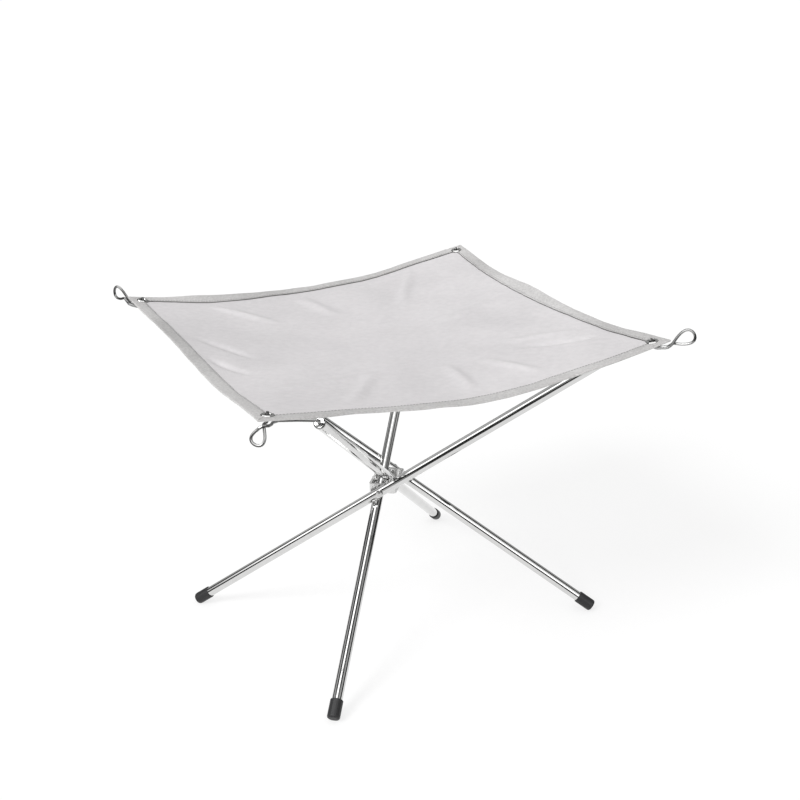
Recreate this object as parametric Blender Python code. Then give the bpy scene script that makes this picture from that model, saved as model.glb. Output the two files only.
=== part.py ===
"""Folding camp fire stand: four crossed steel legs carry a hooked square of fine steel mesh.

Metres, +Z up, with the origin on the ground under the hub. A leg is named by where its foot
stands: left is -X, right is +X, front is -Y and back is +Y. A corner of the bed is named the
same way. Each leg runs from its foot, past the hub, to the opposite corner.
"""

import math

import bmesh
import bpy
from mathutils import Matrix, Vector

# Driving sizes of the open stand
FOOT_REACH = 0.2305           # where a leg's centre line meets the ground, out from the hub
TOP_REACH = 0.270             # where that line would reach the height of the eyelets
EYELET_HEIGHT = 0.3428
EYELET_REACH = 0.285          # eyelets' centres, out from the hub's axis
CORNER_REACH = 0.3027         # tips of the bed's corners
BED_TURN = math.radians(-5.9)     # the bed hangs in line with the outer pair of legs
BED_SLOPE = 0.0087            # and a little lower at its right corner than at its left
TAUT_SAG = 0.0110             # how far the left-front and right-back hems hang at their middles
SLACK_SAG = 0.0210            # the same for the other two hems
BELLY_LIFT = 0.0040           # how much less than both together the middle of the bed hangs
TAUT_PULL = 0.030             # share by which the first two hems draw in at their middles
SLACK_PULL = 0.004            # the same for the other two

# Legs
TUBE_RADIUS = 0.0055
TUBE_WALL = 0.0008
OUTER_OFFSET = 0.0295         # plane of the left and right legs, from the hub's centre
INNER_OFFSET = 0.0061         # plane of the front and back legs
TUBE_UP = 0.300               # from the pivot to a tube's upper end
TUBE_SIDES = 24

# Rubber feet
CAP_RADIUS = 0.0066
CAP_FILLET = 0.0022
CAP_LENGTH = 0.0195
CAP_FLOOR = 0.0030            # rubber under the tube's end
CAP_BORE = 0.00575
FOOT_FLAT = 0.0010            # depth worn flat where a foot stands

# Hooks
WIRE_RADIUS = 0.0014
# Loops: where the strands cross, out from the eyelet and under the bed; how far apart they are
# there; length; half width; then in degrees the tilt up, the turn on edge and the swing aside
SIDE_LOOP = (0.0195, 0.0034, 0.0034, 0.0235, 0.0068, 20, 75, 0)
SWUNG_LOOP = (0.0205, 0.0012, 0.0034, 0.0195, 0.0068, 10, 75, -18)
FRONT_LOOP = (0.0080, 0.0070, -0.0034, 0.0170, 0.0060, -75, 0, -15)

# Bed
SHEET_THICKNESS = 0.0005
HEM_WIDTH = 0.014
HEM_PLY = 0.0005
HEM_FOLD = 0.0010             # from the hem's outer edge to the sheet's edge
BED_CELLS = 18                # between the inner edges of two opposite hems
EYELET_BORE = 0.0036
EYELET_BARREL = 0.0042
EYELET_FLANGE = 0.0063

# Hub
PIN_RADIUS = 0.0020
HEAD_RADIUS = 0.0040
HEAD_THICKNESS = 0.0015
EAR_THICKNESS = 0.0020
WALL_THICKNESS = 0.0030
RING_HALF_HEIGHT = 0.0050
RING_CORNER = 0.0035
WASHER_RADIUS = 0.0050
EAR_WASHER = 0.0007
WALL_WASHER = 0.0008
CROSS_SPACER = 0.0006
PIN_SIDES = 16

GAP = 0.0003                  # between touching solids

# Worked out from the above
LEAN = math.atan2(FOOT_REACH + TOP_REACH, EYELET_HEIGHT)      # legs' lean from upright
HUB_HEIGHT = FOOT_REACH / math.tan(LEAN)
BED_HALF = CORNER_REACH / math.sqrt(2.0)
EYELET_AT = EYELET_REACH / CORNER_REACH
PIN_HOLE = PIN_RADIUS + GAP
EAR_INSIDE = INNER_OFFSET + TUBE_RADIUS + EAR_WASHER + 2 * GAP
EAR_OUTSIDE = EAR_INSIDE + EAR_THICKNESS
WALL_OUTSIDE = OUTER_OFFSET - TUBE_RADIUS - WALL_WASHER - 2 * GAP
WALL_INSIDE = WALL_OUTSIDE - WALL_THICKNESS
HEM_INSIDE = SHEET_THICKNESS / 2 + GAP       # half the slot that a folded hem leaves for the sheet
HEM_OUTSIDE = HEM_INSIDE + HEM_PLY

# Leg: heading of its top seen from above, its plane's offset to its own left, its hook's loop
LEGS = {
    "left": (0.0, -OUTER_OFFSET, SIDE_LOOP),
    "right": (math.pi, -OUTER_OFFSET, SWUNG_LOOP),
    "front": (math.pi / 2, INNER_OFFSET, FRONT_LOOP),
    "back": (-math.pi / 2, INNER_OFFSET, FRONT_LOOP),
}
CORNERS = {"left": (-1, 1), "right": (1, -1), "front": (-1, -1), "back": (1, 1)}
OPPOSITE = {"left": "right", "right": "left", "front": "back", "back": "front"}

# Soft folds of the sheet: from, to (both in half-widths of the bed), width and height.
# The last two lie over the ends of the front and back legs' tubes.
FOLDS = (
    ((-0.80, 0.30), (-0.15, 0.10), 0.13, 0.0030),
    ((-0.85, -0.30), (-0.20, -0.15), 0.11, 0.0026),
    ((-0.35, -0.85), (-0.05, -0.25), 0.12, 0.0024),
    ((0.80, -0.25), (0.25, -0.10), 0.12, 0.0024),
    ((0.30, 0.80), (0.10, 0.20), 0.12, 0.0026),
    ((-0.45, -0.62), (-1.10, -1.15), 0.25, 0.0040),
    ((0.45, 0.62), (1.10, 1.15), 0.25, 0.0040),
)


def clear_scene():
    """Remove the objects that a new file starts with."""
    for old in list(bpy.data.objects):
        bpy.data.objects.remove(old, do_unlink=True)


def material(name, colour, roughness, metallic):
    """A Principled material of one colour."""
    made = bpy.data.materials.new(name)
    made.use_nodes = True
    shader = made.node_tree.nodes["Principled BSDF"]
    shader.inputs["Base Color"].default_value = (*colour, 1.0)
    shader.inputs["Roughness"].default_value = roughness
    shader.inputs["Metallic"].default_value = metallic
    return made


def add_object(name, bm, finish, parent=None, place=None):
    """Turn a bmesh into an object under its parent."""
    bmesh.ops.recalc_face_normals(bm, faces=bm.faces)
    mesh = bpy.data.meshes.new(name)
    bm.to_mesh(mesh)
    bm.free()
    mesh.materials.append(finish)
    mesh.shade_smooth()
    mesh.set_sharp_from_angle(angle=math.radians(35))
    made = bpy.data.objects.new(name, mesh)
    bpy.context.scene.collection.objects.link(made)
    made.parent = parent
    if place is not None:
        made.matrix_local = place
    return made


def add_empty(name, place):
    """An empty that carries a body on its joint's axis."""
    empty = bpy.data.objects.new(name, None)
    bpy.context.scene.collection.objects.link(empty)
    empty.matrix_world = place
    return empty


def lathe(profile, sides, closed=True):
    """Spin (radius, height) points round Z. A closed profile makes a ring, an open one a solid."""
    bm = bmesh.new()
    points = [bm.verts.new((radius, 0.0, height)) for radius, height in profile]
    edges = [bm.edges.new(pair) for pair in zip(points, points[1:])]
    if closed:
        edges.append(bm.edges.new((points[-1], points[0])))
    bmesh.ops.spin(bm, geom=points + edges, axis=(0, 0, 1), cent=(0, 0, 0), steps=sides,
                   angle=math.tau)
    bmesh.ops.remove_doubles(bm, verts=bm.verts, dist=0.00001)
    return bm


def box(size_x, size_y, size_z):
    """A box round the origin."""
    bm = bmesh.new()
    bmesh.ops.create_cube(bm, size=1.0)
    bmesh.ops.scale(bm, verts=bm.verts, vec=(size_x, size_y, size_z))
    return bm


def cut(piece, cutter):
    """Take the cutter away from the piece."""
    cutter.hide_render = True
    cutter.display_type = "WIRE"
    modifier = piece.modifiers.new("cut " + cutter.name, "BOOLEAN")
    modifier.operation = "DIFFERENCE"
    modifier.solver = "EXACT"
    modifier.object = cutter


def along_x():
    """Turn a piece made along Z to lie along X."""
    return Matrix.Rotation(math.pi / 2, 4, "Y")


def along_y():
    """Turn a piece made along Z to lie along Y."""
    return Matrix.Rotation(-math.pi / 2, 4, "X")


# The bed's surface

def fold_height(s, t):
    """Height of the soft folds at a place on the bed, in half-widths."""
    height = 0.0
    for start, end, width, rise in FOLDS:
        run = Vector(end) - Vector(start)
        offset = Vector((s, t)) - Vector(start)
        share = offset.dot(run) / run.length_squared
        aside = (offset - run * share).length / width
        fade = max(0.0, 1.0 - (2.0 * share - 1.0) ** 2)
        height += rise * fade * math.exp(-aside * aside)
    return height


def bed_sag(s, t):
    """How far the bed hangs below its corners."""
    across = 1.0 - s * s
    along = 1.0 - t * t
    return SLACK_SAG * across + TAUT_SAG * along - BELLY_LIFT * across * along


def bed_point(s, t, lift=0.0):
    """A point of the bed's middle surface, s and t from -1 to 1 between opposite edges."""
    x = BED_HALF * s * (1.0 - TAUT_PULL * (1.0 - t * t))
    y = BED_HALF * t * (1.0 - SLACK_PULL * (1.0 - s * s))
    z = EYELET_HEIGHT + bed_sag(EYELET_AT, EYELET_AT) - bed_sag(s, t) + fold_height(s, t)
    turned = Matrix.Rotation(math.pi / 4 + BED_TURN, 3, "Z") @ Vector((x, y, z))
    return turned + Vector((0.0, 0.0, lift - BED_SLOPE * turned.x))


def corner_place(corner):
    """Place of an eyelet: X out along the bed, Y to the side, Z square to the bed."""
    s, t = (EYELET_AT * sign for sign in CORNERS[corner])
    step = 0.02
    along_s = bed_point(s + step, t) - bed_point(s - step, t)
    along_t = bed_point(s, t + step) - bed_point(s, t - step)
    normal = along_s.cross(along_t).normalized()
    outward = (along_s * s + along_t * t).normalized()
    side = normal.cross(outward)
    centre = bed_point(s, t)
    turn = Matrix((outward, side, normal)).transposed().to_4x4()
    return Matrix.Translation(centre) @ turn


# Legs

def leg_place(leg):
    """Place of a leg's pivot: Z up along the tube, Y along the pivot."""
    heading, offset, _ = LEGS[leg]
    turn = Matrix.Rotation(heading, 4, "Z")
    return Matrix.Translation((0, 0, HUB_HEIGHT)) @ turn @ Matrix.Translation((0, offset, 0)) \
        @ Matrix.Rotation(LEAN, 4, "Y")


def cap_end():
    """Distance from a leg's pivot down to the end of its rubber foot."""
    rim = (CAP_RADIUS - CAP_FILLET) * math.sin(LEAN)
    return CAP_FILLET + (HUB_HEIGHT + FOOT_FLAT - CAP_FILLET - rim) / math.cos(LEAN)


def make_tube(leg, empty, steel):
    """A hollow tube with a cross hole at its pivot."""
    bottom = CAP_FLOOR + GAP - cap_end()
    bore = TUBE_RADIUS - TUBE_WALL
    profile = ((TUBE_RADIUS, TUBE_UP), (TUBE_RADIUS, bottom), (bore, bottom), (bore, TUBE_UP))
    tube = add_object("leg_" + leg, lathe(profile, TUBE_SIDES), steel, empty)
    reach = 2 * TUBE_RADIUS
    hole = lathe(((0, reach), (PIN_HOLE, reach), (PIN_HOLE, -reach), (0, -reach)), PIN_SIDES, False)
    cut(tube, add_object("hole_" + leg, hole, steel, empty, along_y()))


def make_foot(leg, empty, rubber):
    """A rubber cap, worn flat where it stands."""
    end = -cap_end()
    mouth = end + CAP_LENGTH
    chamfer = 0.0006
    corner = [(CAP_RADIUS - CAP_FILLET + CAP_FILLET * math.sin(math.pi / 2 * step / 4),
               end + CAP_FILLET - CAP_FILLET * math.cos(math.pi / 2 * step / 4)) for step in range(5)]
    profile = [(0, end)] + corner
    profile += [(CAP_RADIUS, mouth - chamfer), (CAP_RADIUS - chamfer, mouth), (CAP_BORE, mouth)]
    profile += [(CAP_BORE, end + CAP_FLOOR), (0, end + CAP_FLOOR)]
    foot = add_object("foot_" + leg, lathe(profile, TUBE_SIDES, False), rubber, empty)
    depth = 0.02
    under = leg_place(leg) @ Vector((0, 0, end))
    ground = add_object("ground_" + leg, box(0.06, 0.06, depth), rubber)
    ground.location = (under.x, under.y, -depth / 2)
    cut(foot, ground)


def make_plug(leg, empty, steel):
    """The tube's upper plug, bored for the hook."""
    spigot = TUBE_RADIUS - TUBE_WALL - GAP
    bore = WIRE_RADIUS + GAP
    seat = TUBE_UP + GAP
    profile = ((bore, TUBE_UP - 0.009), (spigot, TUBE_UP - 0.009), (spigot, seat),
               (TUBE_RADIUS, seat), (TUBE_RADIUS, seat + 0.0013), (0.0045, seat + 0.0022),
               (bore, seat + 0.0022))
    add_object("plug_" + leg, lathe(profile, PIN_SIDES), steel, empty)


def smooth_path(points, per_span):
    """Points on a smooth curve through the given ones."""
    ends = [2 * points[0] - points[1]] + list(points) + [2 * points[-1] - points[-2]]
    path = []
    for index in range(1, len(ends) - 2):
        before, start, end, after = ends[index - 1:index + 3]
        for step in range(per_span):
            u = step / per_span
            path.append(0.5 * (2 * start + (end - before) * u
                               + (2 * before - 5 * start + 4 * end - after) * u ** 2
                               + (3 * start - before - 3 * end + after) * u ** 3))
    path.append(points[-1])
    return path


def loop_point(share, loop):
    """A point of the hook's loop in its eyelet's frame, share from 0 to 1 round the loop."""
    start, drop, space, length, half_width = loop[:5]
    tilt, turn, swing = (math.radians(degrees) for degrees in loop[5:])
    angle = math.tau * share
    aside = space * (0.5 - share)
    flat = Vector((length * math.sin(angle / 2), half_width * math.sin(angle), aside))
    turned = Matrix.Rotation(swing, 3, "Z") @ Matrix.Rotation(turn, 3, "X") @ flat
    return Vector((start, 0.0, -drop)) + Matrix.Rotation(-tilt, 3, "Y") @ turned


def hook_points(leg):
    """The wire's path in world space, from its plug to its tip above the eyelet."""
    _, _, shape = LEGS[leg]
    tube = leg_place(leg)
    corner = corner_place(OPPOSITE[leg])
    path = [tube @ Vector((0, 0, TUBE_UP + out)) for out in (-0.007, 0.0, 0.006, 0.012)]
    under = [Vector((-0.014, 0.0040, -0.0062)), Vector((0.000, 0.0040, -0.0064)),
             Vector((0.005, 0.0038, -0.0066)), Vector((0.0145, 0.0026, -0.0066))]
    loop = [loop_point(1.0 - step / 12, shape) for step in range(13)]
    back = [Vector((0.0145, -0.0020, -0.0062)), Vector((0.0090, -0.0020, -0.0060)),
            Vector((0.0040, -0.0012, -0.0060)), Vector((0.0012, -0.0003, -0.0050))]
    tip = [Vector((0.0, 0.0, height)) for height in (-0.0028, 0.0010, 0.0045)]
    short_of = shape[0] - 0.003
    under = [point for point in under if point.x < short_of]
    back = [point for point in back if point.x < short_of]
    return path + [corner @ point for point in under + loop + back + tip]


def make_hook(leg, empty, steel):
    """A bent wire hook: a closed loop past the corner, its end turned up through the eyelet."""
    to_leg = empty.matrix_world.inverted()
    path = [to_leg @ point for point in smooth_path(hook_points(leg), 2)]
    curve = bpy.data.curves.new("hook_" + leg, "CURVE")
    curve.dimensions = "3D"
    curve.bevel_depth = WIRE_RADIUS
    curve.bevel_resolution = 2
    curve.use_fill_caps = True
    spline = curve.splines.new("POLY")
    spline.points.add(len(path) - 1)
    for point, place in zip(spline.points, path):
        point.co = (*place, 1.0)
    curve.materials.append(steel)
    hook = bpy.data.objects.new("hook_" + leg, curve)
    bpy.context.scene.collection.objects.link(hook)
    hook.parent = empty


def make_leg(leg, steel, bright, rubber):
    """One leg with its foot, plug and hook, carried by an empty on its pivot."""
    empty = add_empty("pivot_" + leg, leg_place(leg))
    bpy.context.view_layer.update()
    make_tube(leg, empty, steel)
    make_foot(leg, empty, rubber)
    make_plug(leg, empty, bright)
    make_hook(leg, empty, bright)


# Hub

def round_pin(half_length, radius=PIN_RADIUS):
    """A pin along Z with a domed head at each end."""
    dome = HEAD_THICKNESS
    upper = [(radius, half_length), (HEAD_RADIUS, half_length),
             (HEAD_RADIUS * 0.85, half_length + dome * 0.7), (0, half_length + dome)]
    lower = [(reach, -height) for reach, height in reversed(upper)]
    return lathe(list(reversed(lower + upper)), PIN_SIDES, False)


def washer(thickness):
    """A washer across Z."""
    half = thickness / 2
    profile = ((PIN_HOLE, -half), (WASHER_RADIUS, -half), (WASHER_RADIUS, half), (PIN_HOLE, half))
    return lathe(profile, PIN_SIDES)


def make_hub_frame(hub, steel):
    """A rectangular ring with two ears for the cross pin and two end walls for the studs."""
    outer = box(2 * EAR_OUTSIDE, 2 * WALL_OUTSIDE, 2 * RING_HALF_HEIGHT)
    uprights = [edge for edge in outer.edges if abs(edge.verts[0].co.z - edge.verts[1].co.z) > 0.001]
    bmesh.ops.bevel(outer, geom=uprights, offset=RING_CORNER, segments=4, profile=0.5,
                    affect="EDGES")
    frame = add_object("hub_frame", outer, steel, hub)
    clear = 4 * RING_HALF_HEIGHT
    window = add_object("window", box(2 * EAR_INSIDE, 2 * WALL_INSIDE, clear), steel, hub)
    cut(frame, window)
    profile = ((0, 0.04), (PIN_HOLE, 0.04), (PIN_HOLE, -0.04), (0, -0.04))
    cut(frame, add_object("hole_x", lathe(profile, PIN_SIDES, False), steel, hub, along_x()))
    cut(frame, add_object("hole_y", lathe(profile, PIN_SIDES, False), steel, hub, along_y()))


def make_hub(steel, bright):
    """The ring, its pin, its studs and their washers."""
    hub = add_empty("hub", Matrix.Translation((0, 0, HUB_HEIGHT)))
    make_hub_frame(hub, steel)
    add_object("cross_pin", round_pin(EAR_OUTSIDE + GAP), bright, hub, along_x())
    add_object("cross_spacer", washer(CROSS_SPACER), bright, hub, along_x())
    ear_washer_at = INNER_OFFSET + TUBE_RADIUS + GAP + EAR_WASHER / 2
    for name, side in (("ear_washer_front", -1), ("ear_washer_back", 1)):
        place = Matrix.Translation((side * ear_washer_at, 0, 0)) @ along_x()
        add_object(name, washer(EAR_WASHER), bright, hub, place)
    stud_inside = WALL_INSIDE - GAP
    stud_outside = OUTER_OFFSET + TUBE_RADIUS + GAP
    wall_washer_at = WALL_OUTSIDE + GAP + WALL_WASHER / 2
    for leg, side in (("left", -1), ("right", 1)):
        middle = Matrix.Translation((0, side * (stud_inside + stud_outside) / 2, 0))
        half = (stud_outside - stud_inside) / 2
        add_object("stud_" + leg, round_pin(half), bright, hub, middle @ along_y())
        place = Matrix.Translation((0, side * wall_washer_at, 0)) @ along_y()
        add_object("wall_washer_" + leg, washer(WALL_WASHER), bright, hub, place)


# Bed

def grid_lines():
    """Places of the bed's grid lines between the inner edges of two opposite hems."""
    edge = 1.0 - HEM_WIDTH / BED_HALF
    return [edge * (2.0 * step / BED_CELLS - 1.0) for step in range(BED_CELLS + 1)]


def make_sheet(bed, mesh_steel):
    """The mesh square, a thin solid that sags between its corners."""
    end = 1.0 - HEM_FOLD / BED_HALF
    lines = [-end] + grid_lines() + [end]
    count = len(lines)
    half = SHEET_THICKNESS / 2
    bm = bmesh.new()
    layers = [[[bm.verts.new(bed_point(s, t, lift)) for t in lines] for s in lines]
              for lift in (half, -half)]
    for row in range(count - 1):
        for column in range(count - 1):
            for layer in layers:
                bm.faces.new((layer[row][column], layer[row + 1][column],
                              layer[row + 1][column + 1], layer[row][column + 1]))
    top, under = layers
    rim = [(row, 0) for row in range(count)] + [(count - 1, column) for column in range(1, count)]
    rim += [(row, count - 1) for row in range(count - 2, -1, -1)]
    rim += [(0, column) for column in range(count - 2, 0, -1)]
    for (row, column), (next_row, next_column) in zip(rim, rim[1:] + rim[:1]):
        bm.faces.new((top[row][column], top[next_row][next_column],
                      under[next_row][next_column], under[row][column]))
    return add_object("mesh_sheet", bm, mesh_steel, bed)


def hem_section():
    """The folded tape's section: distance in from the edge, and height over the sheet."""
    return ((HEM_WIDTH, HEM_OUTSIDE), (0.0, HEM_OUTSIDE), (0.0, -HEM_OUTSIDE),
            (HEM_WIDTH, -HEM_OUTSIDE), (HEM_WIDTH, -HEM_INSIDE), (HEM_FOLD - GAP, -HEM_INSIDE),
            (HEM_FOLD - GAP, HEM_INSIDE), (HEM_WIDTH, HEM_INSIDE))


def make_hem(name, turns, bed, tape):
    """A hem tape folded over one edge, mitred at the corners."""
    mitre_gap = GAP / BED_HALF
    lines = grid_lines()
    lines[0] += 2 * mitre_gap
    lines[-1] -= 2 * mitre_gap
    bm = bmesh.new()
    rings = []
    for station in [-1.0] + lines + [1.0]:
        ring = []
        for inset, lift in hem_section():
            across = 1.0 - inset / BED_HALF
            along = station
            if abs(station) == 1.0:
                along = station * (across - mitre_gap)
            s, t = along, -across
            for _ in range(turns):
                s, t = -t, s
            ring.append(bm.verts.new(bed_point(s, t, lift)))
        rings.append(ring)
    for ring, following in zip(rings, rings[1:]):
        for index in range(len(ring)):
            after = (index + 1) % len(ring)
            bm.faces.new((ring[index], ring[after], following[after], following[index]))
    bm.faces.new(rings[0])
    bm.faces.new(rings[-1])
    return add_object(name, bm, tape, bed)


def make_eyelet(corner, bed, bright):
    """A pressed eyelet, its back ring, and the hole that both sit in."""
    place = corner_place(corner)
    over = HEM_OUTSIDE + GAP
    ring_under = over + 0.0007
    eyelet = ((EYELET_BORE, -ring_under - 0.0009), (0.0049, -ring_under - 0.0009),
              (0.0049, -ring_under - GAP), (EYELET_BARREL, -ring_under - GAP),
              (EYELET_BARREL, over), (EYELET_FLANGE, over), (0.0059, over + 0.0007),
              (0.0048, over + 0.0011), (0.0040, over + 0.0008), (EYELET_BORE, over))
    add_object("eyelet_corner_" + corner, lathe(eyelet, PIN_SIDES), bright, bed, place)
    barrel_clear = EYELET_BARREL + GAP
    ring = ((barrel_clear, -ring_under), (EYELET_FLANGE, -ring_under), (EYELET_FLANGE, -over),
            (barrel_clear, -over))
    add_object("eyelet_ring_" + corner, lathe(ring, PIN_SIDES), bright, bed, place)
    hole = ((0, 0.01), (barrel_clear, 0.01), (barrel_clear, -0.01), (0, -0.01))
    return add_object("eyelet_hole_" + corner, lathe(hole, PIN_SIDES, False), bright, bed, place)


def make_bed(mesh_steel, tape, bright):
    """The sheet, its hems and its eyelets."""
    bed = add_empty("bed", Matrix.Identity(4))
    sheet = make_sheet(bed, mesh_steel)
    hem_names = ("hem_left_front", "hem_right_front", "hem_right_back", "hem_left_back")
    order = ("hem_right_front", "hem_right_back", "hem_left_back", "hem_left_front")
    turns = {name: order.index(name) for name in hem_names}
    hems = {name: make_hem(name, turns[name], bed, tape) for name in hem_names}
    meeting = {
        "left": ("hem_left_front", "hem_left_back"),
        "right": ("hem_right_front", "hem_right_back"),
        "front": ("hem_left_front", "hem_right_front"),
        "back": ("hem_right_back", "hem_left_back"),
    }
    for corner, names in meeting.items():
        hole = make_eyelet(corner, bed, bright)
        cut(sheet, hole)
        for name in names:
            cut(hems[name], hole)


def main():
    clear_scene()
    steel = material("tube_steel", (0.72, 0.72, 0.71), 0.12, 1.0)
    bright = material("bright_steel", (0.78, 0.78, 0.77), 0.18, 1.0)
    rubber = material("black_rubber", (0.02, 0.02, 0.021), 0.55, 0.0)
    mesh_steel = material("mesh_steel", (0.66, 0.66, 0.67), 0.45, 0.6)
    tape = material("hem_tape", (0.52, 0.53, 0.52), 0.5, 0.5)
    make_hub(steel, bright)
    for leg in LEGS:
        make_leg(leg, steel, bright, rubber)
    make_bed(mesh_steel, tape, bright)


main()
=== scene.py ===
import math

import bmesh
import bpy
from mathutils import Matrix, Vector, noise


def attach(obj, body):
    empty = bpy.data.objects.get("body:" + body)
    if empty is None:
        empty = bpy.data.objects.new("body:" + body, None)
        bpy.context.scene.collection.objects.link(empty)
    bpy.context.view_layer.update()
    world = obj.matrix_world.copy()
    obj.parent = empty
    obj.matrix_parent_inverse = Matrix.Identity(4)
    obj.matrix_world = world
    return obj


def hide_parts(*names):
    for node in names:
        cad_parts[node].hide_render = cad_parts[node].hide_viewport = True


# The bed's shape, in metres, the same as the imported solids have
EYELET_HEIGHT = 0.3428
CORNER_REACH = 0.3027
BED_TURN = math.radians(-5.9)
BED_SLOPE = 0.0087
TAUT_SAG = 0.0110
SLACK_SAG = 0.0210
BELLY_LIFT = 0.0040
TAUT_PULL = 0.030
SLACK_PULL = 0.004
EYELET_AT = 0.285 / CORNER_REACH
BED_HALF = CORNER_REACH / math.sqrt(2.0)
HEM_WIDTH = 0.014
HEM_FOLD = 0.0010
HEM_SLOT = 0.00055            # half the slot that the sheet's edge lies in
HEM_OUTSIDE = 0.00105         # the hem's outside over the sheet's middle
BARREL_CLEAR = 0.0045         # the eyelet's hole in the hem
CLOTH_CLEAR = 0.0012          # how much wider the hole in the sheet is
SEAM_IN = 0.0016              # from the tape's inner edge to its stitches
STITCH_PITCH = 0.0032
STITCH_RADIUS = 0.00032
PUCKER_END = 0.86             # the tape's small wrinkles stop here, before the eyelets
PUCKER_HEIGHT = 0.00035
# Broad folds that the solids have too: from, to, width and height
FOLDS = (
    ((-0.80, 0.30), (-0.15, 0.10), 0.13, 0.0030),
    ((-0.85, -0.30), (-0.20, -0.15), 0.11, 0.0026),
    ((-0.35, -0.85), (-0.05, -0.25), 0.12, 0.0024),
    ((0.80, -0.25), (0.25, -0.10), 0.12, 0.0024),
    ((0.30, 0.80), (0.10, 0.20), 0.12, 0.0026),
    ((-0.45, -0.62), (-1.10, -1.15), 0.25, 0.0040),
    ((0.45, 0.62), (1.10, 1.15), 0.25, 0.0040),
)
# Narrower creases that only this model of the bed has: from, to, width and height or depth
CREASES = (
    ((-0.99, 0.20), (-0.78, -0.26), 0.022, -0.0034),
    ((-0.86, 0.35), (-0.68, -0.02), 0.022, -0.0026),
    ((-0.80, -0.52), (-0.25, -0.42), 0.026, 0.0030),
    ((-0.55, -0.84), (-0.22, -0.40), 0.032, 0.0030),
    ((0.05, -0.86), (0.12, -0.46), 0.032, 0.0025),
    ((0.42, -0.86), (0.30, -0.52), 0.029, 0.0025),
    ((0.86, -0.50), (0.50, -0.36), 0.026, 0.0030),
    ((0.50, -0.46), (0.88, -0.65), 0.026, -0.0032),
    ((0.86, 0.20), (0.40, 0.10), 0.032, 0.0025),
    ((0.60, 0.86), (0.34, 0.46), 0.032, 0.0028),
    ((-0.10, 0.86), (-0.02, 0.48), 0.036, 0.0025),
    ((-0.60, 0.86), (-0.36, 0.50), 0.029, 0.0028),
)
# Hems are numbered as in HEMS. Where one hangs higher or lower than the solids' hem: hem, place
# along it, spread and height
HEM_BUMPS = (
    (0, -0.50, 0.24, 0.0038),
    (0, 0.10, 0.30, -0.0025),
    (1, -0.64, 0.24, -0.0022),
    (3, -0.45, 0.24, 0.0030),
    (3, 0.32, 0.26, -0.0028),
    (1, 0.16, 0.24, 0.0018),
    (2, 0.62, 0.34, -0.0008),
)
# Where a hem is rolled, its edge up and its seam down: hem, place along it, spread and height
HEM_ROLLS = ((2, 0.62, 0.36, 0.0030), (1, 0.14, 0.26, 0.0032))
CORNERS = {"left": (-1, 1), "right": (1, -1), "front": (-1, -1), "back": (1, 1)}
HEMS = ("right_front", "right_back", "left_back", "left_front")
# Section of the dark strip of painted shade along the foot of each tape's inner edge: in from the
# tape's inner edge, and over the sheet's middle
PAINTED_SHADE_SECTION = ((0.0001, 0.0004), (0.0004, 0.0007), (0.0008, 0.0004), (0.0004, 0.0001))
SHEET_CELLS = 184
HEM_STATIONS = 220
RIPPLE_HEIGHT = 0.0010        # of the slight waves along the hems
RIPPLE_END = 0.88             # the waves stop here, before the eyelets
RIPPLE_FADE = 0.3
FIELD_FADE = 0.06             # how soon the creases die out towards the hems, in half-widths

# Steel of the carried-over pieces: start of the nodes' names, material, colour, roughness range
STEELS = (
    ("leg_", "scene_tube", (0.68, 0.68, 0.675), 0.04, 0.10),
    ("hook_", "scene_wire", (0.30, 0.30, 0.298), 0.26, 0.36),
    ("eyelet_", "scene_eyelet", (0.55, 0.55, 0.545), 0.14, 0.24),
    ("hub_frame", "scene_hub", (0.72, 0.72, 0.715), 0.18, 0.30),
    ("", "scene_bright", (0.58, 0.58, 0.575), 0.16, 0.26),
)

# Studio
FLOOR_RADIUS = 40.0
FLOOR_GREY = (0.30, 0.30, 0.30)
FLOOR_GLOW = 0.74
FLOOR_SEEN = (0.50, 0.90)     # the radii between which shining metal loses sight of the floor
FLOOR_UNSEEN = (0.04, 0.04, 0.04)
CARD_BLACK = (0.02, 0.02, 0.02)
CARD_GREY = (0.48, 0.48, 0.48)
LAMPS = (2.1, 2.1, 2.1)
REAR_GREY = (0.42, 0.42, 0.42)
SOFT_LIGHT = (0.62, 0.62, 0.62)
WHITE = (1.0, 1.0, 1.0)
SUN_ENERGY = 1.5
SUN_ANGLE = math.radians(24)
SUN_TURN = (math.radians(34), math.radians(-34), 0.0)

# Camera fitted to the photograph's eyelets, feet and tubes
CAMERA_AZIMUTH = math.radians(13.2)
CAMERA_ELEVATION = math.radians(19.9)
CAMERA_ROLL = math.radians(-1.92)
CAMERA_DISTANCE = 1.324
CAMERA_TARGET = (0.030, 0.2878)
CAMERA_FOCAL = 1238.0         # in pixels
CAMERA_CENTRE = (410.4, 368.6)
PICTURE_SIDE = 800.0          # in pixels
SENSOR_WIDTH = 36.0           # in millimetres


# The bed's surface

def ridge_height(s, t, ridges):
    """Height of soft ridges at a place on the bed, in half-widths."""
    height = 0.0
    for start, end, width, rise in ridges:
        run = Vector(end) - Vector(start)
        offset = Vector((s, t)) - Vector(start)
        share = offset.dot(run) / run.length_squared
        aside = (offset - run * share).length / width
        fade = max(0.0, 1.0 - (2.0 * share - 1.0) ** 2)
        height += rise * fade * math.exp(-aside * aside)
    return height


def bed_sag(s, t):
    """How far the bed hangs below its corners."""
    across = 1.0 - s * s
    along = 1.0 - t * t
    return SLACK_SAG * across + TAUT_SAG * along - BELLY_LIFT * across * along


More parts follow.
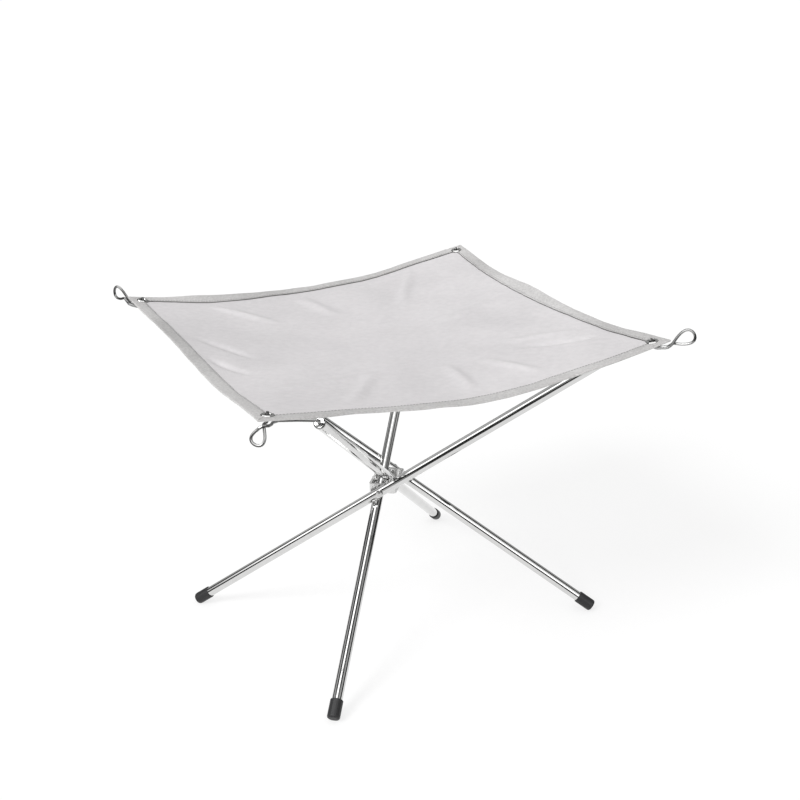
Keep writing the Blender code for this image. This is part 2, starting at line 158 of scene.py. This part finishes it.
def bed_point(s, t, lift=0.0):
    """A point of the bed's middle surface, s and t from -1 to 1 between opposite edges."""
    x = BED_HALF * s * (1.0 - TAUT_PULL * (1.0 - t * t))
    y = BED_HALF * t * (1.0 - SLACK_PULL * (1.0 - s * s))
    z = EYELET_HEIGHT + bed_sag(EYELET_AT, EYELET_AT) - bed_sag(s, t) + ridge_height(s, t, FOLDS)
    turned = Matrix.Rotation(math.pi / 4 + BED_TURN, 3, "Z") @ Vector((x, y, z))
    return turned + Vector((0.0, 0.0, lift - BED_SLOPE * turned.x))


def smooth(value):
    """A value held between 0 and 1, with a soft start and end."""
    share = min(1.0, max(0.0, value))
    return share * share * (3.0 - 2.0 * share)


def field_share(s, t):
    """0 at the hems' inner edges and under the hems, 1 well inside them."""
    inner = 1.0 - (HEM_WIDTH + 0.002) / BED_HALF
    return smooth(min(inner - abs(s), inner - abs(t)) / FIELD_FADE)


def from_hem(turns, s, t):
    """A place seen from a hem: 1 at its edge and -1 at the opposite one, and how far along it."""
    return ((-t, s), (s, t), (t, -s), (-s, -t))[turns]


def bell(along, place, spread):
    """1 at a place along a hem, and soon 0 on both sides of it."""
    return math.exp(-((along - place) / spread) ** 2)


def roll_share(side):
    """Share of a hem's roll across it: 1 at the edge, below 0 at the seam, none far in."""
    out = (side - 1.0) * BED_HALF / HEM_WIDTH + 1.0
    if out < 0.0:
        return -0.7 * math.exp(-(out / 1.1) ** 2)
    return 1.7 * min(1.0, out) - 0.7


def edge_ripple(s, t):
    """The hems' waves, bumps and rolls, which the sheet shares; none near the eyelets."""
    share = smooth((RIPPLE_END - min(abs(s), abs(t))) / RIPPLE_FADE) * max(abs(s), abs(t)) ** 4
    wave = noise.noise(Vector((3.7 * s, 3.7 * t, 5.1)))
    wave += 0.6 * noise.noise(Vector((9.0 * s, 9.0 * t, 1.3)))
    lift = RIPPLE_HEIGHT * wave
    for turns, place, spread, height in HEM_BUMPS:
        side, along = from_hem(turns, s, t)
        if side > 0.0:
            lift += height * bell(along, place, spread) * side ** 2
    for turns, place, spread, height in HEM_ROLLS:
        side, along = from_hem(turns, s, t)
        lift += height * bell(along, place, spread) * roll_share(side)
    return share * lift


def cloth_lift(s, t):
    """The fine creases and the slight unevenness of the sheet, away from its hems."""
    uneven = 0.0006 * noise.noise(Vector((4.1 * s, 4.1 * t, 0.4)))
    uneven += 0.00012 * noise.noise(Vector((11.0 * s, 11.0 * t, 2.7)))
    return edge_ripple(s, t) + field_share(s, t) * (ridge_height(s, t, CREASES) + uneven)


def eyelet_place(corner):
    """Place of an eyelet: X out along the bed, Y to the side, Z square to the bed."""
    s, t = (EYELET_AT * sign for sign in CORNERS[corner])
    step = 0.02
    along_s = bed_point(s + step, t) - bed_point(s - step, t)
    along_t = bed_point(s, t + step) - bed_point(s, t - step)
    normal = along_s.cross(along_t).normalized()
    outward = (along_s * s + along_t * t).normalized()
    side = normal.cross(outward)
    turn = Matrix((outward, side, normal)).transposed().to_4x4()
    return Matrix.Translation(bed_point(s, t)) @ turn


# Node materials

def start_material(name, colour, roughness, metallic):
    """A Principled material; returns it, its node tree and its shader."""
    made = bpy.data.materials.new(name)
    made.use_nodes = True
    tree = made.node_tree
    shader = tree.nodes["Principled BSDF"]
    shader.inputs["Base Color"].default_value = (*colour, 1.0)
    shader.inputs["Roughness"].default_value = roughness
    shader.inputs["Metallic"].default_value = metallic
    return made, tree, shader


def coordinates(tree, scale, turn=0.0):
    """Object coordinates, scaled and turned about Z."""
    source = tree.nodes.new("ShaderNodeTexCoord")
    mapping = tree.nodes.new("ShaderNodeMapping")
    mapping.inputs["Scale"].default_value = scale
    mapping.inputs["Rotation"].default_value = (0.0, 0.0, turn)
    tree.links.new(source.outputs["Object"], mapping.inputs["Vector"])
    return mapping.outputs["Vector"]


def noise_value(tree, vector, scale, detail=2.0):
    """A noise texture's value."""
    node = tree.nodes.new("ShaderNodeTexNoise")
    node.inputs["Scale"].default_value = scale
    node.inputs["Detail"].default_value = detail
    tree.links.new(vector, node.inputs["Vector"])
    return node.outputs["Fac"]


def wave_value(tree, vector, scale, direction):
    """A sine wave texture's value along one axis."""
    node = tree.nodes.new("ShaderNodeTexWave")
    node.wave_type = "BANDS"
    node.bands_direction = direction
    node.wave_profile = "SIN"
    node.inputs["Scale"].default_value = scale
    node.inputs["Distortion"].default_value = 0.0
    tree.links.new(vector, node.inputs["Vector"])
    return node.outputs["Fac"]


def remap(tree, value, low, high, start=0.0, end=1.0):
    """Map a value from start..end to low..high."""
    node = tree.nodes.new("ShaderNodeMapRange")
    node.inputs["From Min"].default_value = start
    node.inputs["From Max"].default_value = end
    node.inputs["To Min"].default_value = low
    node.inputs["To Max"].default_value = high
    tree.links.new(value, node.inputs["Value"])
    return node.outputs["Result"]


def soft_step(tree, value, start, end):
    """0 below start and 1 above end, or the other way round, with a soft change between."""
    node = tree.nodes.new("ShaderNodeMapRange")
    node.interpolation_type = "SMOOTHSTEP"
    node.inputs["From Min"].default_value = min(start, end)
    node.inputs["From Max"].default_value = max(start, end)
    node.inputs["To Min"].default_value = 0.0 if start < end else 1.0
    node.inputs["To Max"].default_value = 1.0 if start < end else 0.0
    tree.links.new(value, node.inputs["Value"])
    return node.outputs["Result"]


def combine(tree, operation, first, second):
    """Two values through one math node."""
    node = tree.nodes.new("ShaderNodeMath")
    node.operation = operation
    for socket, value in zip(node.inputs, (first, second)):
        if isinstance(value, (int, float)):
            socket.default_value = value
        else:
            tree.links.new(value, socket)
    return node.outputs["Value"]


def blend_colours(tree, value, low, high):
    """A colour between two, each a set colour or another node's, by a value."""
    node = tree.nodes.new("ShaderNodeMix")
    node.data_type = "RGBA"
    for name, colour in (("A", low), ("B", high)):
        socket = next(found for found in node.inputs if found.identifier == name + "_Color")
        if isinstance(colour, tuple):
            socket.default_value = (*colour, 1.0)
        else:
            tree.links.new(colour, socket)
    tree.links.new(value, node.inputs["Factor"])
    return next(found for found in node.outputs if found.identifier == "Result_Color")


def add_bump(tree, shader, height, strength, distance):
    """Bump the shader's surface by a height value."""
    node = tree.nodes.new("ShaderNodeBump")
    node.inputs["Strength"].default_value = strength
    node.inputs["Distance"].default_value = distance
    tree.links.new(height, node.inputs["Height"])
    tree.links.new(node.outputs["Normal"], shader.inputs["Normal"])


def polished_steel(name, colour, low, high):
    """Polished steel with a fine grain bumped into its surface and faint smears."""
    made, tree, shader = start_material(name, colour, low, 1.0)
    smear = noise_value(tree, coordinates(tree, (1, 1, 1)), 38.0, 4.0)
    tree.links.new(remap(tree, smear, low, high, 0.35, 0.7), shader.inputs["Roughness"])
    dull = tuple(0.93 * part for part in colour)
    tree.links.new(blend_colours(tree, remap(tree, smear, 0.0, 1.0, 0.45, 0.75), colour, dull),
                   shader.inputs["Base Color"])
    grain = noise_value(tree, coordinates(tree, (1, 1, 1)), 1400.0, 2.0)
    add_bump(tree, shader, grain, 0.03, 0.0001)
    return made


def black_rubber():
    """Moulded black rubber, a little dusty low down where it stands on the ground."""
    made, tree, shader = start_material("scene_rubber", (0.03, 0.03, 0.032), 0.5, 0.0)
    vector = coordinates(tree, (1, 1, 1))
    grain = noise_value(tree, vector, 900.0, 3.0)
    cloud = noise_value(tree, vector, 90.0, 3.0)
    split = tree.nodes.new("ShaderNodeSeparateXYZ")
    tree.links.new(vector, split.inputs["Vector"])
    low_down = remap(tree, split.outputs["Z"], 0.55, 0.0, 0.0, 0.006)
    dust = combine(tree, "MULTIPLY", remap(tree, cloud, 0.25, 1.0, 0.35, 0.75), low_down)
    tree.links.new(blend_colours(tree, dust, (0.010, 0.010, 0.011), (0.06, 0.057, 0.054)),
                   shader.inputs["Base Color"])
    tree.links.new(remap(tree, cloud, 0.42, 0.62), shader.inputs["Roughness"])
    add_bump(tree, shader, grain, 0.25, 0.0002)
    return made


def woven(name, light, dark, pitch, depth, roughness, metallic, grain=(160.0, 0.25)):
    """A plain weave of fine wire or yarn in line with the bed, uneven in tone.

    The grain is its noise scale and its share of the tone.
    """
    made, tree, shader = start_material(name, light, roughness, metallic)
    shader.inputs["Specular IOR Level"].default_value = 0.2
    vector = coordinates(tree, (1, 1, 1), -(math.pi / 4 + BED_TURN))
    scale = 1.0 / (20.0 * pitch) * 2.0 * math.pi
    warp = wave_value(tree, vector, scale, "X")
    weft = wave_value(tree, vector, scale, "Y")
    weave = combine(tree, "MAXIMUM", warp, weft)
    cloud = noise_value(tree, coordinates(tree, (1, 1, 1)), 9.0, 4.0)
    fine = noise_value(tree, coordinates(tree, (1, 1, 1)), grain[0], 3.0)
    tone = combine(tree, "ADD", remap(tree, cloud, 0.0, 0.62, 0.3, 0.7),
                   remap(tree, fine, 0.0, 2.0 * grain[1], 0.25, 0.75))
    tone = combine(tree, "ADD", tone, remap(tree, weave, 0.16, 0.0))
    tree.links.new(blend_colours(tree, tone, light, dark), shader.inputs["Base Color"])
    tree.links.new(remap(tree, fine, roughness - 0.06, roughness + 0.08),
                   shader.inputs["Roughness"])
    add_bump(tree, shader, weave, depth, pitch * 0.3)
    return made


# Pieces of the bed

def finish_mesh(name, bm, material, angle=40):
    """Turn a bmesh into a smooth object that rides on the bed."""
    bmesh.ops.recalc_face_normals(bm, faces=bm.faces)
    mesh = bpy.data.meshes.new(name)
    bm.to_mesh(mesh)
    bm.free()
    mesh.materials.append(material)
    mesh.shade_smooth()
    mesh.set_sharp_from_angle(angle=math.radians(angle))
    made = bpy.data.objects.new(name, mesh)
    bpy.context.scene.collection.objects.link(made)
    return made


def sweep(bm, rings):
    """Join a row of equal rings of points by faces, and close both ends."""
    for ring, following in zip(rings, rings[1:]):
        for index in range(len(ring)):
            after = (index + 1) % len(ring)
            bm.faces.new((ring[index], ring[after], following[after], following[index]))
    bm.faces.new(rings[0])
    bm.faces.new(rings[-1])


def make_cloth(material):
    """The woven sheet, with its sag, folds and creases, open only where the eyelets go through."""
    end = 1.0 - HEM_FOLD / BED_HALF
    lines = [end * (2.0 * step / SHEET_CELLS - 1.0) for step in range(SHEET_CELLS + 1)]
    centres = [eyelet_place(corner).translation for corner in CORNERS]
    bm = bmesh.new()
    grid = [[bm.verts.new(bed_point(s, t, cloth_lift(s, t))) for t in lines] for s in lines]
    for row in range(SHEET_CELLS):
        for column in range(SHEET_CELLS):
            corners = (grid[row][column], grid[row + 1][column],
                       grid[row + 1][column + 1], grid[row][column + 1])
            middle = sum((vert.co for vert in corners), Vector()) / 4
            nearest = min((middle - centre).length for centre in centres)
            if nearest > BARREL_CLEAR + CLOTH_CLEAR:
                bm.faces.new(corners)
    loose = [vert for vert in bm.verts if not vert.link_faces]
    bmesh.ops.delete(bm, geom=loose, context="VERTS")
    return finish_mesh("mesh_cloth", bm, material)


def tape_section():
    """The folded tape's rounded section: distance in from the edge, and height over the sheet."""
    middle = (HEM_SLOT + HEM_OUTSIDE) / 2
    ply = (HEM_OUTSIDE - HEM_SLOT) / 2
    upper = []
    for step in range(5):
        angle = math.pi / 2 * step / 4
        upper.append((HEM_WIDTH - ply + ply * math.cos(angle), middle + ply * math.sin(angle)))
    upper += [(HEM_WIDTH - 0.0022, HEM_OUTSIDE - 0.00012), (HEM_WIDTH - 0.0034, HEM_OUTSIDE),
              (0.0080, HEM_OUTSIDE + 0.00006), (0.0045, HEM_OUTSIDE + 0.00002)]
    fold = []
    for step in range(7):
        angle = math.pi * step / 6
        fold.append((HEM_OUTSIDE - HEM_OUTSIDE * math.sin(angle), HEM_OUTSIDE * math.cos(angle)))
    lower = [(inset, -height) for inset, height in reversed(upper)]
    inside = [(HEM_WIDTH - ply, -HEM_SLOT), (HEM_FOLD - 0.0003, -HEM_SLOT),
              (HEM_FOLD - 0.0003, HEM_SLOT), (HEM_WIDTH - ply, HEM_SLOT)]
    return upper + fold + lower + inside


def tape_wave(turns, along, face):
    """How far an edge of the tape wanders outward, along the hem; face 0 is its inner edge."""
    slow = noise.noise(Vector((5.0 * along, 3.0 * turns, 7.0 * face)))
    quick = noise.noise(Vector((14.0 * along, 3.0 * turns, 7.0 * face + 2.0)))
    return abs(0.0011 * slow + 0.0006 * quick)


def pucker(turns, along, inset):
    """Small wrinkles across the tape where its stitching draws it in."""
    near_seam = min(1.0, inset / HEM_WIDTH + 0.25)
    bumps = noise.noise(Vector((34.0 * along, 9.0 * turns, 60.0 * inset)))
    return PUCKER_HEIGHT * near_seam * abs(bumps)


def hem_coordinates(turns, across, along):
    """Turn a place on the first hem into the same place on another."""
    s, t = along, -across
    for _ in range(turns):
        s, t = -t, s
    return s, t


def make_tape(name, turns, material):
    """A hem tape folded over one edge, mitred at the corners, with a slightly uneven inner edge."""
    mitre_gap = 0.0003 / BED_HALF
    inner = 1.0 - HEM_WIDTH / BED_HALF - 3 * mitre_gap
    stations = [inner * (2.0 * step / HEM_STATIONS - 1.0) for step in range(HEM_STATIONS + 1)]
    bm = bmesh.new()
    rings = []
    for station in [-1.0] + stations + [1.0]:
        ring = []
        for inset, lift in tape_section():
            free = inset / HEM_WIDTH
            wander = free * tape_wave(turns, station, 0)
            if inset < HEM_FOLD and abs(station) < 0.9:
                wander += 0.3 * tape_wave(turns, station, 1)
            across = 1.0 - (inset - wander) / BED_HALF
            along = station
            if abs(station) == 1.0:
                along = station * (across - mitre_gap)
            elif abs(lift) > HEM_SLOT and abs(station) < PUCKER_END:
                lift += math.copysign(pucker(turns, station, inset), lift)
            place = hem_coordinates(turns, across, along)
            ring.append(bm.verts.new(bed_point(*place, lift + edge_ripple(*place))))
        rings.append(ring)
    sweep(bm, rings)
    return finish_mesh("tape_" + name, bm, material, 50)


def make_cutter(corner):
    """A round cutter where an eyelet's barrel goes through the hem."""
    bm = bmesh.new()
    bmesh.ops.create_cone(bm, cap_ends=True, segments=24, radius1=BARREL_CLEAR,
                          radius2=BARREL_CLEAR, depth=0.02, matrix=eyelet_place(corner))
    mesh = bpy.data.meshes.new("cutter_" + corner)
    bm.to_mesh(mesh)
    bm.free()
    cutter = bpy.data.objects.new("cutter_" + corner, mesh)
    bpy.context.scene.collection.objects.link(cutter)
    return cutter


def cut_holes(tapes):
    """Cut the eyelets' holes through the tapes, then remove the cutters."""
    for corner in CORNERS:
        cutter = make_cutter(corner)
        for tape in tapes:
            if corner not in tape.name:
                continue
            modifier = tape.modifiers.new("hole", "BOOLEAN")
            modifier.operation = "DIFFERENCE"
            modifier.solver = "EXACT"
            modifier.object = cutter
            graph = bpy.context.evaluated_depsgraph_get()
            mesh = bpy.data.meshes.new_from_object(tape.evaluated_get(graph))
            tape.modifiers.clear()
            tape.data = mesh
        bpy.data.objects.remove(cutter, do_unlink=True)


def add_stitch(bm, points):
    """One stitch: a thread lying in a low arc through three points."""
    run = (points[2] - points[0]).normalized()
    side = run.cross(Vector((0, 0, 1))).normalized() * STITCH_RADIUS
    up = side.cross(run).normalized() * STITCH_RADIUS
    rings = []
    for point, share in zip(points, (0.45, 1.0, 0.45)):
        rings.append([bm.verts.new(point + share * offset)
                      for offset in (side, up, -side, -up)])
    sweep(bm, rings)


def seam_rise(turns, along):
    """How far the tape's wrinkles lift the stitches, which are drawn in a little."""
    drawn_in = 0.00006
    if abs(along) >= PUCKER_END:
        return -drawn_in
    return pucker(turns, along, HEM_WIDTH - SEAM_IN) - drawn_in


def make_stitching(name, turns, material):
    """The row of stitches along a hem's inner edge, over and under."""
    pitch = STITCH_PITCH / BED_HALF
    across = 1.0 - (HEM_WIDTH - SEAM_IN) / BED_HALF
    reach = across - 0.004 / BED_HALF
    count = int(2 * reach / pitch)
    bm = bmesh.new()
    for face in (1, -1):
        for number in range(count):
            start = -reach + number * pitch
            points = []
            for share, rise in ((0.06, -0.00002), (0.42, 0.00026), (0.78, -0.00002)):
                place = hem_coordinates(turns, across, start + share * pitch)
                height = face * (HEM_OUTSIDE + seam_rise(turns, start + share * pitch) + rise)
                points.append(bed_point(*place, height + edge_ripple(*place)))
            add_stitch(bm, points)
    return finish_mesh("stitching_" + name, bm, material, 60)


def make_painted_shade_line(name, turns, material):
    """A dark strip of painted shade at the foot of a hem's inner edge on both faces, standing for
    the shade under the tape's lip; no real thread lies there.
    """
    reach = 1.0 - (HEM_WIDTH + 0.003) / BED_HALF
    bm = bmesh.new()
    for face in (1, -1):
        rings = []
        for station in range(HEM_STATIONS + 1):
            along = reach * (2.0 * station / HEM_STATIONS - 1.0)
            ring = []
            for side, rise in PAINTED_SHADE_SECTION:
                inset = HEM_WIDTH - tape_wave(turns, along, 0) + side
                place = hem_coordinates(turns, 1.0 - inset / BED_HALF, along)
                ring.append(bm.verts.new(bed_point(*place, face * rise + edge_ripple(*place))))
            rings.append(ring)
        sweep(bm, rings)
    return finish_mesh("edging_" + name, bm, material, 60)


def make_bed():
    """Everything soft: the sheet, its tapes, their stitches and strips of painted shade, in place
    of the CAD solids.
    """
    mesh_look = woven("scene_mesh", (0.83, 0.808, 0.818), (0.70, 0.682, 0.692),
                      pitch=0.0009, depth=0.25, roughness=0.6, metallic=0.05)
    tape_look = woven("scene_tape", (0.79, 0.779, 0.773), (0.485, 0.478, 0.474),
                      pitch=0.0006, depth=0.35, roughness=0.62, metallic=0.0, grain=(420.0, 0.30))
    thread_look = woven("scene_thread", (0.46, 0.458, 0.455), (0.32, 0.318, 0.315),
                        pitch=0.0004, depth=0.3, roughness=0.6, metallic=0.0)
    # Near-black colour of the painted shade along the tapes' inner edges
    painted_shade_look = woven("scene_edging", (0.16, 0.158, 0.155), (0.09, 0.089, 0.087),
                        pitch=0.0004, depth=0.3, roughness=0.6, metallic=0.0)
    cloth = make_cloth(mesh_look)
    tapes = [make_tape(name, turns, tape_look) for turns, name in enumerate(HEMS)]
    cut_holes(tapes)
    stitches_and_shade_lines = [make_stitching(name, turns, thread_look) for turns, name in enumerate(HEMS)]
    # Dark strips of painted shade at the foot of each tape's inner edge, beside the real stitches
    stitches_and_shade_lines += [make_painted_shade_line(name, turns, painted_shade_look) for turns, name in enumerate(HEMS)]
    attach(cloth, "bed")
    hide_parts("mesh_sheet")
    for tape, name in zip(tapes, HEMS):
        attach(tape, "bed")
        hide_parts("hem_" + name)
    for stitch_or_shade_line in stitches_and_shade_lines:
        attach(stitch_or_shade_line, "bed")
    for piece in [cloth] + tapes:
        piece.visible_glossy = False


# Looks of the carried-over CAD nodes

def dress_frame(nodes):
    """Give every CAD node that stays its detailed material."""
    looks = {"foot_": black_rubber()}
    for start, name, colour, low, high in STEELS:
        looks[start] = polished_steel(name, colour, low, high)
    for name, node in nodes.items():
        look = next(made for start, made in looks.items() if name.startswith(start))
        node.data.materials.clear()
        node.data.materials.append(look)


# Studio

def make_floor():
    """A plain white floor that keeps the object's shadow; metal sees it end in the dark."""
    bm = bmesh.new()
    bmesh.ops.create_circle(bm, cap_ends=True, segments=64, radius=FLOOR_RADIUS)
    mesh = bpy.data.meshes.new("floor")
    bm.to_mesh(mesh)
    bm.free()
    floor = bpy.data.objects.new("floor", mesh)
    bpy.context.scene.collection.objects.link(floor)
    floor.location.z = -0.0002
    made, tree, shader = start_material("scene_floor", FLOOR_GREY, 0.9, 0.0)
    shader.inputs["Specular IOR Level"].default_value = 0.0
    shader.inputs["Emission Color"].default_value = (1.0, 1.0, 1.0, 1.0)
    source = tree.nodes.new("ShaderNodeTexCoord")
    length = tree.nodes.new("ShaderNodeVectorMath")
    length.operation = "LENGTH"
    tree.links.new(source.outputs["Object"], length.inputs[0])
    path = tree.nodes.new("ShaderNodeLightPath")
    far = combine(tree, "MULTIPLY", soft_step(tree, length.outputs["Value"], *FLOOR_SEEN),
                  path.outputs["Is Glossy Ray"])
    tree.links.new(remap(tree, far, FLOOR_GLOW, 0.0), shader.inputs["Emission Strength"])
    tree.links.new(blend_colours(tree, far, FLOOR_GREY, FLOOR_UNSEEN),
                   shader.inputs["Base Color"])
    mesh.materials.append(made)


def make_cards(tree):
    """What shining metal sees: lamps above and in front, dark cards at the sides, grey behind."""
    source = tree.nodes.new("ShaderNodeTexCoord")
    split = tree.nodes.new("ShaderNodeSeparateXYZ")
    tree.links.new(source.outputs["Generated"], split.inputs["Vector"])
    aside = combine(tree, "ABSOLUTE", split.outputs["X"], 0.0)
    front = soft_step(tree, split.outputs["Y"], -0.18, -0.28)
    behind = soft_step(tree, split.outputs["Y"], 0.38, 0.52)
    between = combine(tree, "SUBTRACT", 1.0, combine(tree, "ADD", front, behind))
    side_card = combine(tree, "MULTIPLY", between, soft_step(tree, aside, 0.36, 0.46))
    low_card = combine(tree, "MULTIPLY", front, soft_step(tree, split.outputs["Z"], 0.36, 0.22))
    dark = combine(tree, "ADD", side_card, low_card)
    paler = combine(tree, "MULTIPLY", soft_step(tree, aside, 0.70, 0.82),
                    soft_step(tree, split.outputs["Z"], 0.42, 0.54))
    card = blend_colours(tree, paler, CARD_BLACK, CARD_GREY)
    lit = blend_colours(tree, behind, LAMPS, REAR_GREY)
    return blend_colours(tree, dark, lit, card)


def make_world():
    """White for the camera, soft even light, and a studio of lamps and cards for what shines."""
    world = bpy.data.worlds.new("studio")
    bpy.context.scene.world = world
    world.use_nodes = True
    tree = world.node_tree
    path = tree.nodes.new("ShaderNodeLightPath")
    around = blend_colours(tree, path.outputs["Is Glossy Ray"], SOFT_LIGHT, make_cards(tree))
    seen = blend_colours(tree, path.outputs["Is Camera Ray"], around, WHITE)
    tree.links.new(seen, tree.nodes["Background"].inputs["Color"])


def make_sun():
    """A wide soft lamp high on the left."""
    lamp = bpy.data.lights.new("soft_lamp", "SUN")
    lamp.energy = SUN_ENERGY
    lamp.angle = SUN_ANGLE
    sun = bpy.data.objects.new("soft_lamp", lamp)
    bpy.context.scene.collection.objects.link(sun)
    sun.rotation_euler = SUN_TURN


def make_camera():
    """The photograph's camera."""
    level = Vector((math.cos(CAMERA_AZIMUTH), math.sin(CAMERA_AZIMUTH), 0.0))
    away = Vector((math.sin(CAMERA_AZIMUTH), -math.cos(CAMERA_AZIMUTH), 0.0))
    back = away * math.cos(CAMERA_ELEVATION) + Vector((0.0, 0.0, math.sin(CAMERA_ELEVATION)))
    target = level * CAMERA_TARGET[0] + Vector((0.0, 0.0, CAMERA_TARGET[1]))
    upright = back.cross(level)
    cosine, sine = math.cos(CAMERA_ROLL), math.sin(CAMERA_ROLL)
    right = cosine * level + sine * upright
    up = cosine * upright - sine * level
    data = bpy.data.cameras.new("camera")
    camera = bpy.data.objects.new("camera", data)
    bpy.context.scene.collection.objects.link(camera)
    turn = Matrix((right, up, back)).transposed().to_4x4()
    camera.matrix_world = Matrix.Translation(target + back * CAMERA_DISTANCE) @ turn
    data.sensor_width = SENSOR_WIDTH
    data.lens = CAMERA_FOCAL * SENSOR_WIDTH / PICTURE_SIDE
    data.shift_x = 0.5 - CAMERA_CENTRE[0] / PICTURE_SIDE
    data.shift_y = CAMERA_CENTRE[1] / PICTURE_SIDE - 0.5
    data.clip_start = 0.01
    bpy.context.scene.camera = camera


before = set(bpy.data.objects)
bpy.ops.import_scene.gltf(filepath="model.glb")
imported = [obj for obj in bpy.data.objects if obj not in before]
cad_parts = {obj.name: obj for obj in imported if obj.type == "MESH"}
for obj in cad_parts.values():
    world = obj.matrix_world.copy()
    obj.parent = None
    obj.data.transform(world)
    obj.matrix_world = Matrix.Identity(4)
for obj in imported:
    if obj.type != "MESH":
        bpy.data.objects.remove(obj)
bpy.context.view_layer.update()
dress_frame(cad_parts)
make_bed()
make_floor()
make_world()
make_sun()
make_camera()
bpy.context.scene.view_settings.view_transform = "Standard"
